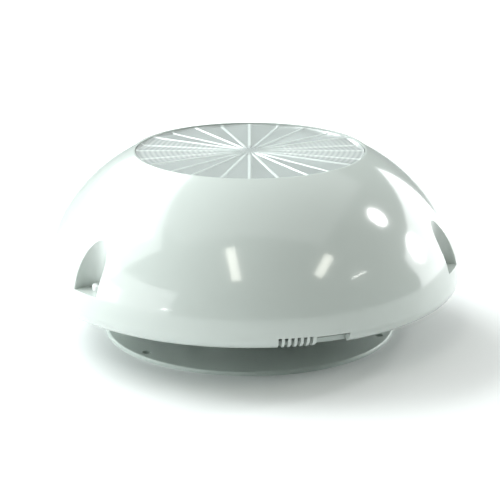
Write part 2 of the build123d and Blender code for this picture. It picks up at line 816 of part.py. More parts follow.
# Horn bell: a flared shell with bosses for the column screws, the strobe spacers and the conduit
bell_foot = column_height + conduit_seal_thickness
spacer_foot = bell_cap_height - spacer_boss_drop
with BuildPart() as horn_bell:
    with BuildSketch(Plane.XZ):
        with BuildLine():
            Polyline((mouth_radius + bell_wall, screen_top + bell_wall),
                     (bell_flange_radius, screen_top + bell_wall), (bell_flange_radius, screen_top),
                     (0, screen_top), (0, bell_cap_height + bell_wall),
                     (bell_cap_radius + bell_wall / 2, bell_cap_height + bell_wall))
            ThreePointArc((bell_cap_radius + bell_wall / 2, bell_cap_height + bell_wall),
                          (bell_waist_radius + bell_wall / 2, bell_waist_height + bell_wall),
                          (mouth_radius + bell_wall, screen_top + bell_wall))
        make_face()
    revolve(axis=Axis.Z)
    with BuildSketch(Plane.XY.offset(screen_top + bell_wall)):
        with Locations(*ring_places(spacer_circle, fixing_count, fixing_azimuth + 60)):
            Circle(spacer_radius + 1)
    extrude(amount=spacer_foot - screen_top - bell_wall)
    with BuildSketch(Plane.XZ):
        with BuildLine():
            Polyline((mouth_radius, screen_top), (0, screen_top), (0, bell_cap_height),
                     (bell_cap_radius, bell_cap_height))
            ThreePointArc((bell_cap_radius, bell_cap_height), (bell_waist_radius, bell_waist_height),
                          (mouth_radius, screen_top))
        make_face()
    revolve(axis=Axis.Z, mode=Mode.SUBTRACT)
    with BuildSketch(Plane.XY.offset(bell_foot)):
        with Locations(*ring_places(column_circle, fixing_count, fixing_azimuth)):
            Circle(bell_boss_radius)
        Circle(drum_radius + loose_fit, mode=Mode.SUBTRACT)
    extrude(amount=bell_boss_top - bell_foot)
    with BuildSketch(Plane.XY.offset(bell_foot)):
        with Locations(place(conduit_circle, conduit_azimuth)):
            Circle(conduit_radius)
        Circle(drum_radius + loose_fit, mode=Mode.SUBTRACT)
    extrude(amount=conduit_top - bell_foot)
    with BuildSketch(Plane.XY.offset(bell_foot)):
        with Locations(*ring_places(column_circle, fixing_count, fixing_azimuth)):
            Circle(bell_screw_radius + running_fit)
        with Locations(place(conduit_circle, conduit_azimuth)):
            Circle(conduit_bore)
    extrude(amount=bell_cap_height, mode=Mode.SUBTRACT)
    with BuildSketch(Plane.XY.offset(screen_top)):
        with Locations(*ring_places(flange_screw_circle, flange_screw_count, fixing_azimuth + 30)):
            Circle(small_screw_radius + running_fit)
    extrude(amount=bell_wall, mode=Mode.SUBTRACT)
    with BuildSketch(Plane.XY.offset(spacer_foot)):
        with Locations(*ring_places(spacer_circle, fixing_count, fixing_azimuth + 60)):
            Circle(small_screw_radius + running_fit)
    extrude(amount=-small_hole_depth, mode=Mode.SUBTRACT)
write_piece(horn_bell, "horn_bell")

screws("bell_screws", ring_places(column_circle, fixing_count, fixing_azimuth),
       bell_boss_top, bell_screw_radius, bell_screw_length, bell_screw_head, bell_screw_head_height)
screws("bell_flange_screws", ring_places(flange_screw_circle, flange_screw_count, fixing_azimuth + 30),
       screen_top + bell_wall, small_screw_radius, bell_wall + screen_thickness + ring_thickness,
       small_head_radius, small_head_height)

with BuildPart() as conduit_seals:
    with BuildSketch(Plane.XY.offset(column_height)):
        with Locations(place(conduit_circle, conduit_azimuth)):
            Circle(conduit_radius)
            Circle(conduit_bore, mode=Mode.SUBTRACT)
        with Locations(*ring_places(column_circle, fixing_count, fixing_azimuth)):
            Circle(column_radius)
            Circle(bell_screw_radius + running_fit, mode=Mode.SUBTRACT)
        Circle(drum_radius + loose_fit, mode=Mode.SUBTRACT)
    extrude(amount=conduit_seal_thickness)
write_piece(conduit_seals, "conduit_seals")

# Rubber bush in the top of the conduit
with BuildPart() as wire_grommet:
    with BuildSketch(Plane.XY.offset(conduit_top)):
        with Locations(place(conduit_circle, conduit_azimuth)):
            Circle(conduit_bore)
    extrude(amount=-grommet_plug)
    with BuildSketch(Plane.XY.offset(conduit_top)):
        with Locations(place(conduit_circle, conduit_azimuth)):
            Circle(conduit_radius)
    extrude(amount=grommet_head)
    fillet(wire_grommet.edges().group_by(Axis.Z)[-1], radius=grommet_round)
    with BuildSketch(Plane.XY.offset(conduit_top - grommet_plug)):
        with Locations(place(conduit_circle, conduit_azimuth)):
            Circle(grommet_hole)
    extrude(amount=grommet_plug + grommet_head, mode=Mode.SUBTRACT)
write_piece(wire_grommet, "wire_grommet")


# Siren board, a sector round the back of the bell
with BuildPart() as siren_board:
    with BuildSketch(Plane.XY.offset(siren_board_floor)):
        with BuildLine():
            outer_edge = CenterArc((0, 0), siren_board_outer, siren_board_start - 90, siren_board_sweep)
            inner_edge = CenterArc((0, 0), siren_board_inner, siren_board_start - 90, siren_board_sweep)
            Line(outer_edge @ 0, inner_edge @ 0)
            Line(outer_edge @ 1, inner_edge @ 1)
        make_face()
        with Locations(*standoff_places):
            Circle(small_screw_radius + running_fit, mode=Mode.SUBTRACT)
    extrude(amount=board_thickness)
write_piece(siren_board, "siren_board")

screws("siren_board_screws", standoff_places, siren_board_top, small_screw_radius, board_screw_length,
       small_head_radius, small_head_height)

# Terminal block by the conduit, with its wire mouths and clamp screws
terminal_top = siren_board_top + terminal_height
with BuildPart() as terminal_block:
    with BuildSketch(facing(terminal_radius, terminal_azimuth, siren_board_top)):
        Rectangle(terminal_depth, terminal_ways * terminal_pitch)
    extrude(amount=terminal_height)
    chamfer(terminal_block.edges().group_by(Axis.Z)[-1], length=body_round)
    with BuildSketch(facing(terminal_radius, terminal_azimuth, terminal_top)):
        with GridLocations(1, terminal_pitch, 1, terminal_ways):
            Circle(terminal_well)
    extrude(amount=-terminal_well_depth, mode=Mode.SUBTRACT)
    with BuildSketch(facing(terminal_radius - terminal_mouth / 2, terminal_azimuth,
                            siren_board_top + terminal_mouth / 2)):
        with GridLocations(1, terminal_pitch, 1, terminal_ways):
            Rectangle(terminal_depth - terminal_mouth, terminal_mouth)
    extrude(amount=terminal_mouth, mode=Mode.SUBTRACT)
write_piece(terminal_block, "terminal_block")

with BuildPart() as terminal_screws:
    with BuildSketch(facing(terminal_radius, terminal_azimuth, terminal_top - terminal_well_depth)):
        with GridLocations(1, terminal_pitch, 1, terminal_ways):
            Circle(terminal_well - 2 * running_fit)
    extrude(amount=terminal_well_depth - body_round)
    with BuildSketch(facing(terminal_radius, terminal_azimuth, terminal_top - body_round)):
        with GridLocations(1, terminal_pitch, 1, terminal_ways):
            Rectangle(terminal_well * 2, terminal_well / 3)
    extrude(amount=-body_round, mode=Mode.SUBTRACT)
write_piece(terminal_screws, "terminal_screws")

# Transformer: winding bobbin and laminated core
with BuildPart() as siren_transformer:
    with BuildSketch(facing(transformer_radius, transformer_azimuth, siren_board_top)):
        Rectangle(core_size[0], core_size[1])
    extrude(amount=core_size[2])
    fillet(siren_transformer.edges().filter_by(Axis.Z), radius=body_round)
    with BuildSketch(facing(transformer_radius, transformer_azimuth, siren_board_top + bobbin_lift)):
        Rectangle(bobbin_size[0], bobbin_size[1])
    extrude(amount=bobbin_size[2])
write_piece(siren_transformer, "siren_transformer")

with BuildPart() as siren_capacitors:
    with BuildSketch(Plane.XY.offset(siren_board_top)):
        with Locations(*[place(capacitor_circle, azimuth) for azimuth in capacitor_azimuths]):
            Circle(capacitor_radius)
    extrude(amount=capacitor_height)
    fillet(siren_capacitors.faces().filter_by(Axis.Z).edges(), radius=body_round)
write_piece(siren_capacitors, "siren_capacitors")

with BuildPart() as output_transistors:
    with BuildSketch(facing(transistor_radius, transistor_azimuth, siren_board_top + bobbin_lift)):
        with GridLocations(1, transistor_pitch, 1, 2):
            Rectangle(transistor_size[0], transistor_size[1])
    extrude(amount=transistor_size[2])
write_piece(output_transistors, "output_transistors")

with BuildPart() as heat_sink:
    with BuildSketch(facing(transistor_radius + (transistor_size[0] + sink_plate) / 2, transistor_azimuth,
                            siren_board_top)):
        Rectangle(sink_plate, sink_width)
        for fin in range(sink_fins):
            with Locations((sink_plate / 2 + sink_fin_size[0] / 2,
                            (fin - (sink_fins - 1) / 2) * sink_fin_pitch)):
                Rectangle(sink_fin_size[0] + cut_over, sink_fin_size[1])
    extrude(amount=sink_height)
write_piece(heat_sink, "heat_sink")


def lead_pair(name, azimuth, spread, route):
    """Two insulated leads side by side along a route of (radius, height) points."""
    with BuildPart() as piece:
        for side in (-1, 1):
            out = place(1, azimuth)
            along = (-out[1] * side * spread, out[0] * side * spread)
            points = [(out[0] * r + along[0], out[1] * r + along[1], z) for r, z in route]
            with BuildLine() as lead_line:
                FilletPolyline(*points, radius=lead_bend)
            path = lead_line.line
            with BuildSketch(Plane(origin=path @ 0, z_dir=path % 0)):
                Circle(lead_radius)
            sweep(path=path)
    write_piece(piece, name)


driver_lead_top = conduit_top + 2 * lead_bend
strobe_lead_start = spacer_circle - spacer_radius
strobe_lead_floor = strobe_board_floor - 2 * lead_bend - 1
lead_pair("driver_leads", conduit_azimuth, 2 * lead_radius,
          [(driver_screw_circle, plate_floor), (driver_screw_circle, lead_floor), (conduit_circle, lead_floor),
           (conduit_circle, driver_lead_top), (lead_fall_radius, driver_lead_top),
           (lead_fall_radius, siren_board_top)])
lead_pair("strobe_leads", strobe_lead_azimuth, 2 * lead_radius,
          [(strobe_lead_start, strobe_board_floor), (strobe_lead_start, strobe_lead_floor),
           (lead_fall_radius, strobe_lead_floor), (lead_fall_radius, siren_board_top)])

# Tamper switch: hollow body, plunger with a collar, and the spring under it
chamber_floor = switch_floor + chamber_lift
chamber_top = switch_top - chamber_cap
collar_floor = chamber_floor + chamber_lift
with BuildPart() as tamper_switch:
    with BuildSketch(facing(tamper_radius, tamper_azimuth, switch_floor)):
        Rectangle(switch_width, switch_length)
    extrude(amount=switch_height)
    fillet(tamper_switch.edges().filter_by(Axis.Z), radius=body_round)
    with BuildSketch(facing(tamper_radius, tamper_azimuth, chamber_floor)):
        Circle(collar_radius + running_fit)
    extrude(amount=chamber_top - chamber_floor, mode=Mode.SUBTRACT)
    with BuildSketch(facing(tamper_radius, tamper_azimuth, chamber_floor)):
        Circle(plunger_radius + running_fit)
    extrude(amount=switch_height, mode=Mode.SUBTRACT)
write_piece(tamper_switch, "tamper_switch")

with BuildPart() as tamper_plunger:
    with BuildSketch(facing(tamper_radius, tamper_azimuth, collar_floor)):
        Circle(plunger_radius)
    extrude(amount=plunger_top - collar_floor)
    with BuildSketch(facing(tamper_radius, tamper_azimuth, collar_floor)):
        Circle(collar_radius)
    extrude(amount=collar_thickness)
write_piece(tamper_plunger, "tamper_plunger")

spring_x, spring_y = place(tamper_radius, tamper_azimuth)
with BuildPart() as tamper_spring:
    with BuildLine():
        coil = Helix(pitch=spring_pitch, height=collar_floor - chamber_floor - 3 * spring_wire,
                     radius=collar_radius - spring_wire - loose_fit,
                     center=(spring_x, spring_y, chamber_floor + spring_wire + touch_gap / 2))
    with BuildSketch(Plane(origin=coil @ 0, z_dir=coil % 0)):
        Circle(spring_wire)
    sweep(path=coil)
write_piece(tamper_spring, "tamper_spring")

# Strobe unit on its spacers
spacer_places = ring_places(spacer_circle, fixing_count, fixing_azimuth + 60)
with BuildPart() as strobe_spacers:
    with BuildSketch(Plane.XY.offset(spacer_foot)):
        with Locations(*spacer_places):
            RegularPolygon(spacer_radius, 6)
            Circle(small_screw_radius + running_fit, mode=Mode.SUBTRACT)
    extrude(amount=strobe_board_floor - spacer_foot)
write_piece(strobe_spacers, "strobe_spacers")

with BuildPart() as strobe_board:
    with BuildSketch(Plane.XY.offset(strobe_board_floor)):
        Circle(strobe_board_radius)
        with Locations(*spacer_places):
            Circle(small_screw_radius + running_fit, mode=Mode.SUBTRACT)
    extrude(amount=board_thickness)
write_piece(strobe_board, "strobe_board")

screws("strobe_board_screws", spacer_places, strobe_board_top, small_screw_radius,
       strobe_board_top - spacer_foot + small_hole_depth - 1, small_head_radius,
       small_head_height)

with BuildPart() as flash_capacitor:
    with BuildSketch(facing(flash_capacitor_circle, flash_capacitor_azimuth,
                            strobe_board_top + flash_capacitor_radius + loose_fit).rotated((90, 0, 0))):
        Circle(flash_capacitor_radius)
    extrude(amount=flash_capacitor_length / 2, both=True)
    fillet(flash_capacitor.edges(), radius=body_round)
write_piece(flash_capacitor, "flash_capacitor")

with BuildPart() as trigger_coil:
    with BuildSketch(facing(trigger_circle, trigger_azimuth, strobe_board_top)):
        Circle(trigger_radius)
    extrude(amount=trigger_height)
    with BuildSketch(facing(trigger_circle, trigger_azimuth, strobe_board_top + trigger_cheek)):
        Circle(trigger_radius)
        Circle(trigger_radius - body_round, mode=Mode.SUBTRACT)
    extrude(amount=trigger_height - 2 * trigger_cheek, mode=Mode.SUBTRACT)
write_piece(trigger_coil, "trigger_coil")

with BuildPart() as tube_holder:
    with BuildSketch(Plane.XY.offset(strobe_board_top)):
        Circle(holder_radius + holder_foot)
    extrude(amount=holder_height)
    with BuildSketch(Plane.XY.offset(reflector_floor)):
        Circle(holder_radius)
    extrude(amount=holder_spigot)
    fillet(tube_holder.edges().group_by(Axis.Z)[-1], radius=body_round)
    with BuildSketch(Plane.XY.offset(reflector_floor + holder_spigot)):
        with Locations((-tube_span / 2, 0), (tube_span / 2, 0)):
            Circle(tube_radius + running_fit)
    extrude(amount=-holder_socket, mode=Mode.SUBTRACT)
write_piece(tube_holder, "tube_holder")

# Reflector dish
dish_inner = holder_radius + loose_fit
dish_foot = dish_inner + dish_flat
dish_middle = (dish_foot + reflector_radius) / 2
dish_middle_height = reflector_floor + reflector_depth * reflector_sag
dish_edge = reflector_radius - 0.75 * reflector_wall
with BuildPart() as strobe_reflector:
    with BuildSketch(Plane.XZ):
        with BuildLine():
            Polyline((dish_inner, reflector_floor + reflector_wall), (dish_inner, reflector_floor),
                     (dish_foot, reflector_floor))
            ThreePointArc((dish_foot, reflector_floor),
                          (dish_middle, dish_middle_height),
                          (reflector_radius, reflector_top - reflector_wall))
            Polyline((reflector_radius, reflector_top - reflector_wall),
                     (reflector_radius + dish_lip, reflector_top - reflector_wall),
                     (reflector_radius + dish_lip, reflector_top), (dish_edge, reflector_top))
            ThreePointArc((dish_edge, reflector_top),
                          (dish_middle - reflector_wall / 3, dish_middle_height + reflector_wall),
                          (dish_foot - reflector_wall / 3, reflector_floor + reflector_wall))
            Line((dish_foot - reflector_wall / 3, reflector_floor + reflector_wall),
                 (dish_inner, reflector_floor + reflector_wall))
        make_face()
    revolve(axis=Axis.Z)
write_piece(strobe_reflector, "strobe_reflector")

# Flash tube: a glass horseshoe, standing in the holder
tube_foot = reflector_floor + tube_inset
bend_height = tube_foot + tube_rise - tube_span / 2
with BuildPart() as flash_tube:
    with BuildLine() as tube_line:
        left_leg = Line((-tube_span / 2, 0, tube_foot), (-tube_span / 2, 0, bend_height))
        bend = ThreePointArc(left_leg @ 1, (0, 0, tube_foot + tube_rise), (tube_span / 2, 0, bend_height))
        Line(bend @ 1, (tube_span / 2, 0, tube_foot))
    with BuildSketch(Plane.XY.offset(tube_foot)):
        with Locations((-tube_span / 2, 0)):
            Circle(tube_radius)
    sweep(path=tube_line.line)
write_piece(flash_tube, "flash_tube")

# Trigger band: a turn of wire round the top of the flash tube's bend
with BuildPart() as trigger_band:
    with BuildSketch(Plane.YZ):
        with Locations((0, tube_foot + tube_rise)):
            Circle(tube_radius + trigger_wire)
            Circle(tube_radius + touch_gap / 2, mode=Mode.SUBTRACT)
    extrude(amount=trigger_wire, both=True)
write_piece(trigger_band, "trigger_band")
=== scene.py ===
import json
import math

import bmesh
import bpy
import numpy as np
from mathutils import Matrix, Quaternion, Vector


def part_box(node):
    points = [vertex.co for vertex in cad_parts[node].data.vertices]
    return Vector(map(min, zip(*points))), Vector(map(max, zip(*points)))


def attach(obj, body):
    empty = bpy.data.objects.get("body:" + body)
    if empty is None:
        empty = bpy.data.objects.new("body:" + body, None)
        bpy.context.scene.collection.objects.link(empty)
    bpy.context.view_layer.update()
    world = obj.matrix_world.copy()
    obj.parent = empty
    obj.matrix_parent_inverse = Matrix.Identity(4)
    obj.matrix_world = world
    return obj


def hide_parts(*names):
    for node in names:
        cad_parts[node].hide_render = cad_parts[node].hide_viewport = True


# The look of a dome-shaped horn strobe. Lengths are in metres, in the part's own frame.

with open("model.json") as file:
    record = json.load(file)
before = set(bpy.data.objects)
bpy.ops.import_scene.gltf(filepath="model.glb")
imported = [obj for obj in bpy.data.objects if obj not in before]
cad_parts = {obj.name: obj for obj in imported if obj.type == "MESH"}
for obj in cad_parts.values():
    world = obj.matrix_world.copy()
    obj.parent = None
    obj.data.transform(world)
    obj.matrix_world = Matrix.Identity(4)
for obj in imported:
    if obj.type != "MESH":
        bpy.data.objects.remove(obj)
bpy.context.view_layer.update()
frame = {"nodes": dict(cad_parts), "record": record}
MM = 0.001

# The lens: V flutes with a rib along every fold, a plain hub, and rings cut in the underside
LENS_FLUTES = 12
FLUTE_DEPTH = 0.9 * MM
RIB_WIDTH = 1.1 * MM
RIB_HEIGHT = 0.45 * MM
HUB_RADIUS = 7.0 * MM
LENS_THICKNESS = 3.2 * MM
RING_COUNT = 14
RING_START = 16.0 * MM
RING_PITCH = 2.9 * MM
RING_DEPTH = 1.0 * MM
BOSS_RADIUS = 8.0 * MM
BOSS_TAPER = 1.5 * MM
BOSS_DEPTH = 1.5 * MM
EDGE_BAND = 1.6 * MM
EDGE_CHAMFER = 0.25 * MM
SKIRT_INSET = 2.4 * MM
SKIRT_WALL = 1.8 * MM
BEAD_DEPTH = 0.4 * MM
BEAD_HEIGHT = 1.0 * MM
LENS_STEPS = 24 * 30
TOP_ROWS = 30

# The cover skin's section: at these heights its normal leans up by these sines, evenly in between,
# and its radius is about this
SKIN_HEIGHTS = (26.4 * MM, 33.3 * MM, 40.0 * MM, 45.0 * MM, 56.0 * MM, 80.0 * MM, 101.0 * MM)
SKIN_LEANS = (-0.986, 0.0, 0.07, 0.226, 0.465, 0.697, 0.8996)
SKIN_RADII = (109.3 * MM, 115.0 * MM, 114.6 * MM, 113.8 * MM, 109.8 * MM, 92.4 * MM, 63.4 * MM)
SKIN_DEPTH = 1.5 * MM
SKIN_AGREEMENT = 0.96

# Mesh cleaning: points this close are one, edges this short go, and edges this sharp stay sharp
MERGE_DISTANCE = 0.002 * MM
SHORTEST_EDGE = 0.001 * MM
CREASE_DEGREES = 32.0

# Sockets of the colour mixing node
MIX_FACTOR, MIX_FIRST, MIX_SECOND, MIX_RESULT = 0, 6, 7, 2


# ---------------------------------------------------------------- shader and geometry maths

class Wire:
    """One socket of a node tree, on which sums can be written."""

    def __init__(self, bench, socket):
        self.bench = bench
        self.socket = socket

    def maths(self, operation, first, second=None):
        values = {0: first} if second is None else {0: first, 1: second}
        return self.bench.node("ShaderNodeMath", {"operation": operation}, values).out(0)

    def __add__(self, other):
        return self.maths("ADD", self, other)

    def __radd__(self, other):
        return self.maths("ADD", other, self)

    def __sub__(self, other):
        return self.maths("SUBTRACT", self, other)

    def __rsub__(self, other):
        return self.maths("SUBTRACT", other, self)

    def __mul__(self, other):
        return self.maths("MULTIPLY", self, other)

    def __truediv__(self, other):
        return self.maths("DIVIDE", self, other)

    def __gt__(self, other):
        return self.maths("GREATER_THAN", self, other)

    def __lt__(self, other):
        return self.maths("LESS_THAN", self, other)

    def power(self, other):
        return self.maths("POWER", self, other)

    def size(self):
        return self.maths("ABSOLUTE", self)

    def wave(self):
        return self.maths("SINE", self)

    def at_most(self, limit):
        return self.maths("MINIMUM", self, limit)

    def at_least(self, limit):
        return self.maths("MAXIMUM", self, limit)

    def turn_from(self, along):
        """The angle of this and the other coordinate, from the second one's axis."""
        return self.maths("ARCTAN2", self, along)

    def zigzag(self, span):
        """Runs from 0 up to span and back, over and over."""
        return self.maths("PINGPONG", self, span)


class Made:
    """A node that was just made, with its outputs as wires."""

    def __init__(self, bench, made):
        self.bench = bench
        self.made = made

    def out(self, name=0):
        return Wire(self.bench, self.made.outputs[name])


class Bench:
    """A node tree being built."""

    def __init__(self, tree):
        self.tree = tree

    def node(self, kind, settings=None, values=None):
        """Make one node: its settings first, then the values or wires of its sockets."""
        made = self.tree.nodes.new(kind)
        for name, value in (settings or {}).items():
            if name == "stops":
                self.set_stops(made.color_ramp, value)
            else:
                setattr(made, name, value)
        for name, value in (values or {}).items():
            if isinstance(value, Wire):
                self.tree.links.new(value.socket, made.inputs[name])
            else:
                made.inputs[name].default_value = value
        return Made(self, made)

    def set_stops(self, ramp, stops):
        while len(ramp.elements) < len(stops):
            ramp.elements.new(1.0)
        for element, (place, colour) in zip(ramp.elements, stops):
            element.position = place
            element.color = colour

    def noise(self, place, scale, detail=2.0, roughness=0.5):
        values = {"Vector": place, "Scale": scale, "Detail": detail, "Roughness": roughness}
        return self.node("ShaderNodeTexNoise", None, values).out("Fac")

    def mix_colour(self, factor, first, second):
        values = {MIX_FACTOR: factor, MIX_FIRST: first, MIX_SECOND: second}
        return self.node("ShaderNodeMix", {"data_type": "RGBA"}, values).out(MIX_RESULT)


def flute_layout(across, along, flutes):
    """Distance from the axis, the turn about it counted in flutes, and the distance from the nearest fold."""
    reach = (across * across + along * along).power(0.5)
    folds = across.turn_from(along) / math.pi * flutes
    from_fold = folds.zigzag(0.5) * reach * math.pi / flutes
    return reach, folds, from_fold


def colour(red, green, blue):
    return (red, green, blue, 1.0)


def new_finish(name, shader_values):
    """A material with one Principled shader, its bench and its object coordinates."""
    material = bpy.data.materials.new(name)
    material.use_nodes = True
    material.node_tree.nodes.clear()
    bench = Bench(material.node_tree)
    place = bench.node("ShaderNodeTexCoord").out("Object")
    shader = bench.node("ShaderNodeBsdfPrincipled", None, shader_values)
    bench.node("ShaderNodeOutputMaterial", None, {"Surface": shader.out(0)})
    return material, bench, place, shader


def link(bench, wire, shader, name):
    bench.tree.links.new(wire.socket, shader.made.inputs[name])


def bump(bench, height, strength, distance):
    values = {"Height": height, "Strength": strength, "Distance": distance}
    return bench.node("ShaderNodeBump", None, values).out("Normal")


def moulded_plastic(name, pale, dark, roughness, grain_scale, grain_depth, coat=0.0):
    """Moulded plastic: faint flow patches, a fine surface grain, and slightly uneven gloss."""
    fixed = {"IOR": 1.49, "Coat Weight": coat, "Coat Roughness": 0.05}
    material, bench, place, shader = new_finish(name, fixed)
    patches = bench.noise(place, 18.0, 3.0, 0.55)
    grain = bench.noise(place, grain_scale, 4.0, 0.6)
    link(bench, bench.mix_colour(patches, colour(*dark), colour(*pale)), shader, "Base Color")
    link(bench, roughness + (grain - 0.5) * roughness * 0.5, shader, "Roughness")
    link(bench, bump(bench, grain, 0.35, grain_depth), shader, "Normal")
    return material


def turned_metal(name, pale, dark, roughness, scratch_scale):
    """Metal with fine scratches and slight tarnish."""
    material, bench, place, shader = new_finish(name, {"Metallic": 1.0})
    stretch = {"Vector": place, "Scale": (1.0, 1.0, 12.0)}
    stretched = bench.node("ShaderNodeMapping", None, stretch).out(0)
    scratches = bench.noise(stretched, scratch_scale, 5.0, 0.65)
    tarnish = bench.noise(place, 60.0, 3.0, 0.6)
    link(bench, bench.mix_colour(tarnish, colour(*dark), colour(*pale)), shader, "Base Color")
    link(bench, roughness + (scratches - 0.5) * 0.18, shader, "Roughness")
    link(bench, bump(bench, scratches, 0.25, 0.02 * MM), shader, "Normal")
    return material


def cover_white():
    """Polished white moulding, cool in cast, with a faint long waviness from the mould."""
    fixed = {"IOR": 1.5, "Coat Weight": 0.35, "Coat Roughness": 0.03}
    material, bench, place, shader = new_finish("cover_white", fixed)
    clouds = bench.noise(place, 9.0, 3.0, 0.5)
    dust = bench.noise(place, 900.0, 3.0, 0.6)
    waviness = bench.noise(place, 26.0, 1.0, 0.4)
    base = bench.mix_colour(clouds, colour(0.5, 0.545, 0.52), colour(0.54, 0.585, 0.56))
    link(bench, base, shader, "Base Color")
    link(bench, 0.11 + dust * 0.05, shader, "Roughness")
    link(bench, bump(bench, waviness + dust * 0.02, 0.1, 0.6 * MM), shader, "Normal")
    return material


def lens_clear():
    """Moulded lens: clear with a milky share, a painted highlight along every rib (paler and milkier there),
    and painted ring reflections at left and right.
    """
    rib_sheen_width, hub_fade, ring_fade, ring_sway = 1.4 * MM, 12.0 * MM, 4.0 * MM, 1.5 * MM
    glint_side_start, glint_side_gain = 0.83, 9.0
    clear_values = {"IOR": 1.49, "Transmission Weight": 0.85, "Coat Weight": 0.2, "Coat Roughness": 0.02}
    material, bench, place, clear = new_finish("lens_clear", clear_values)
    haze = bench.noise(place, 30.0, 3.0, 0.5)
    specks = bench.noise(place, 1400.0, 2.0, 0.5)
    grain = bump(bench, specks, 0.05, 0.1 * MM)
    tint = bench.mix_colour(haze, colour(0.86, 0.91, 0.9), colour(0.93, 0.97, 0.96))
    link(bench, tint, clear, "Base Color")
    link(bench, 0.07 + specks * 0.05, clear, "Roughness")
    link(bench, grain, clear, "Normal")

    parts = bench.node("ShaderNodeSeparateXYZ", None, {"Vector": place})
    across = parts.out("X")
    reach, folds, from_fold = flute_layout(across, parts.out("Y"), LENS_FLUTES)
    rib = (1.0 - (from_fold / rib_sheen_width).power(2.0)).at_least(0.0)
    rib = rib * (reach / hub_fade).power(3.0).at_most(1.0)
    # Painted reflection: pale rings, bent into chevrons at each fold, kept only at the left and right of the
    # lens.
    rings = ((reach + folds.zigzag(1.0) * ring_sway) * (2.0 * math.pi / RING_PITCH)).wave() * 0.5 + 0.5
    glint_sides = ((across.size() / reach - glint_side_start) * glint_side_gain).at_least(0.0).at_most(1.0)
    past_hub = ((reach - RING_START) / ring_fade).at_least(0.0).at_most(1.0)
    # Painted highlight: the milky colour is paler along every rib, so the ribs look lit under any lamp.
    plain = bench.mix_colour(rib, colour(0.6, 0.65, 0.635), colour(0.68, 0.735, 0.72))
    # The pale rings mixed in here are painted reflection.
    pale = bench.mix_colour(rings * glint_sides * past_hub * 0.75, plain, colour(0.92, 0.96, 0.95))
    milky_values = {"Base Color": pale, "Roughness": 0.24, "IOR": 1.49, "Normal": grain,
                    "Coat Weight": 0.3, "Coat Roughness": 0.05}
    milky = bench.node("ShaderNodeBsdfPrincipled", None, milky_values)
    # Painted highlight: more of the milky shader along every rib.
    share = (0.42 + haze * 0.1 + rib * 0.35).at_most(1.0)
    shaders = {"Fac": share, 1: clear.out(0), 2: milky.out(0)}
    blend = bench.node("ShaderNodeMixShader", None, shaders).out(0)
    output = material.node_tree.get_output_node("ALL")
    bench.tree.links.new(blend.socket, output.inputs["Surface"])
    return material


def tube_glass():
    """Clear glass with a faint smokiness."""
    fixed = {"IOR": 1.47, "Transmission Weight": 0.95}
    material, bench, place, shader = new_finish("flash_tube_glass", fixed)
    smoke = bench.noise(place, 140.0, 3.0, 0.6)
    tint = bench.mix_colour(smoke, colour(0.86, 0.88, 0.86), colour(0.95, 0.97, 0.97))
    link(bench, tint, shader, "Base Color")
    link(bench, 0.02 + smoke * 0.04, shader, "Roughness")
    return material


def plated_mirror():
    """Vacuum-plated reflector with a faint orange-peel."""
    material, bench, place, shader = new_finish("plated_reflector", {"Metallic": 1.0})
    peel = bench.noise(place, 320.0, 2.0, 0.5)
    plating = bench.mix_colour(peel, colour(0.84, 0.86, 0.86), colour(0.92, 0.94, 0.94))
    link(bench, plating, shader, "Base Color")
    link(bench, 0.06 + peel * 0.06, shader, "Roughness")
    link(bench, bump(bench, peel, 0.15, 0.1 * MM), shader, "Normal")
    return material


def circuit_green():
    """Green solder resist with tracks showing through, and a tinned pad here and there."""
    material, bench, place, shader = new_finish("circuit_green", {"IOR": 1.5, "Coat Weight": 0.3})
    cells = bench.node("ShaderNodeTexVoronoi", {"distance": "MANHATTAN", "feature": "F1"},
                       {"Vector": place, "Scale": 260.0}).out("Distance")
    tracks = cells > 0.42
    pads = cells < 0.1
    resist = bench.mix_colour(tracks, colour(0.012, 0.10, 0.04), colour(0.03, 0.2, 0.08))
    link(bench, bench.mix_colour(pads, resist, colour(0.62, 0.62, 0.58)), shader, "Base Color")
    link(bench, 0.3 - pads * 0.08, shader, "Roughness")
    link(bench, pads * 0.9, shader, "Metallic")
    link(bench, bump(bench, tracks, 0.3, 0.04 * MM), shader, "Normal")
    return material


def wound_copper():
    """Enamelled winding, with the turns as a fine ribbing along the axis."""
    material, bench, place, shader = new_finish("wound_copper", {"Metallic": 0.9, "Coat Weight": 0.4})
    parts = bench.node("ShaderNodeSeparateXYZ", None, {"Vector": place})
    wire_pitch = 0.35 * MM
    turns = (parts.out("Z") * 2.0 * math.pi / wire_pitch).wave()
    enamel = bench.mix_colour(turns * 0.5 + 0.5, colour(0.3, 0.09, 0.03), colour(0.72, 0.3, 0.13))
    link(bench, enamel, shader, "Base Color")
    link(bench, 0.28 + turns * 0.06, shader, "Roughness")
    link(bench, bump(bench, turns, 0.5, 0.08 * MM), shader, "Normal")
    return material


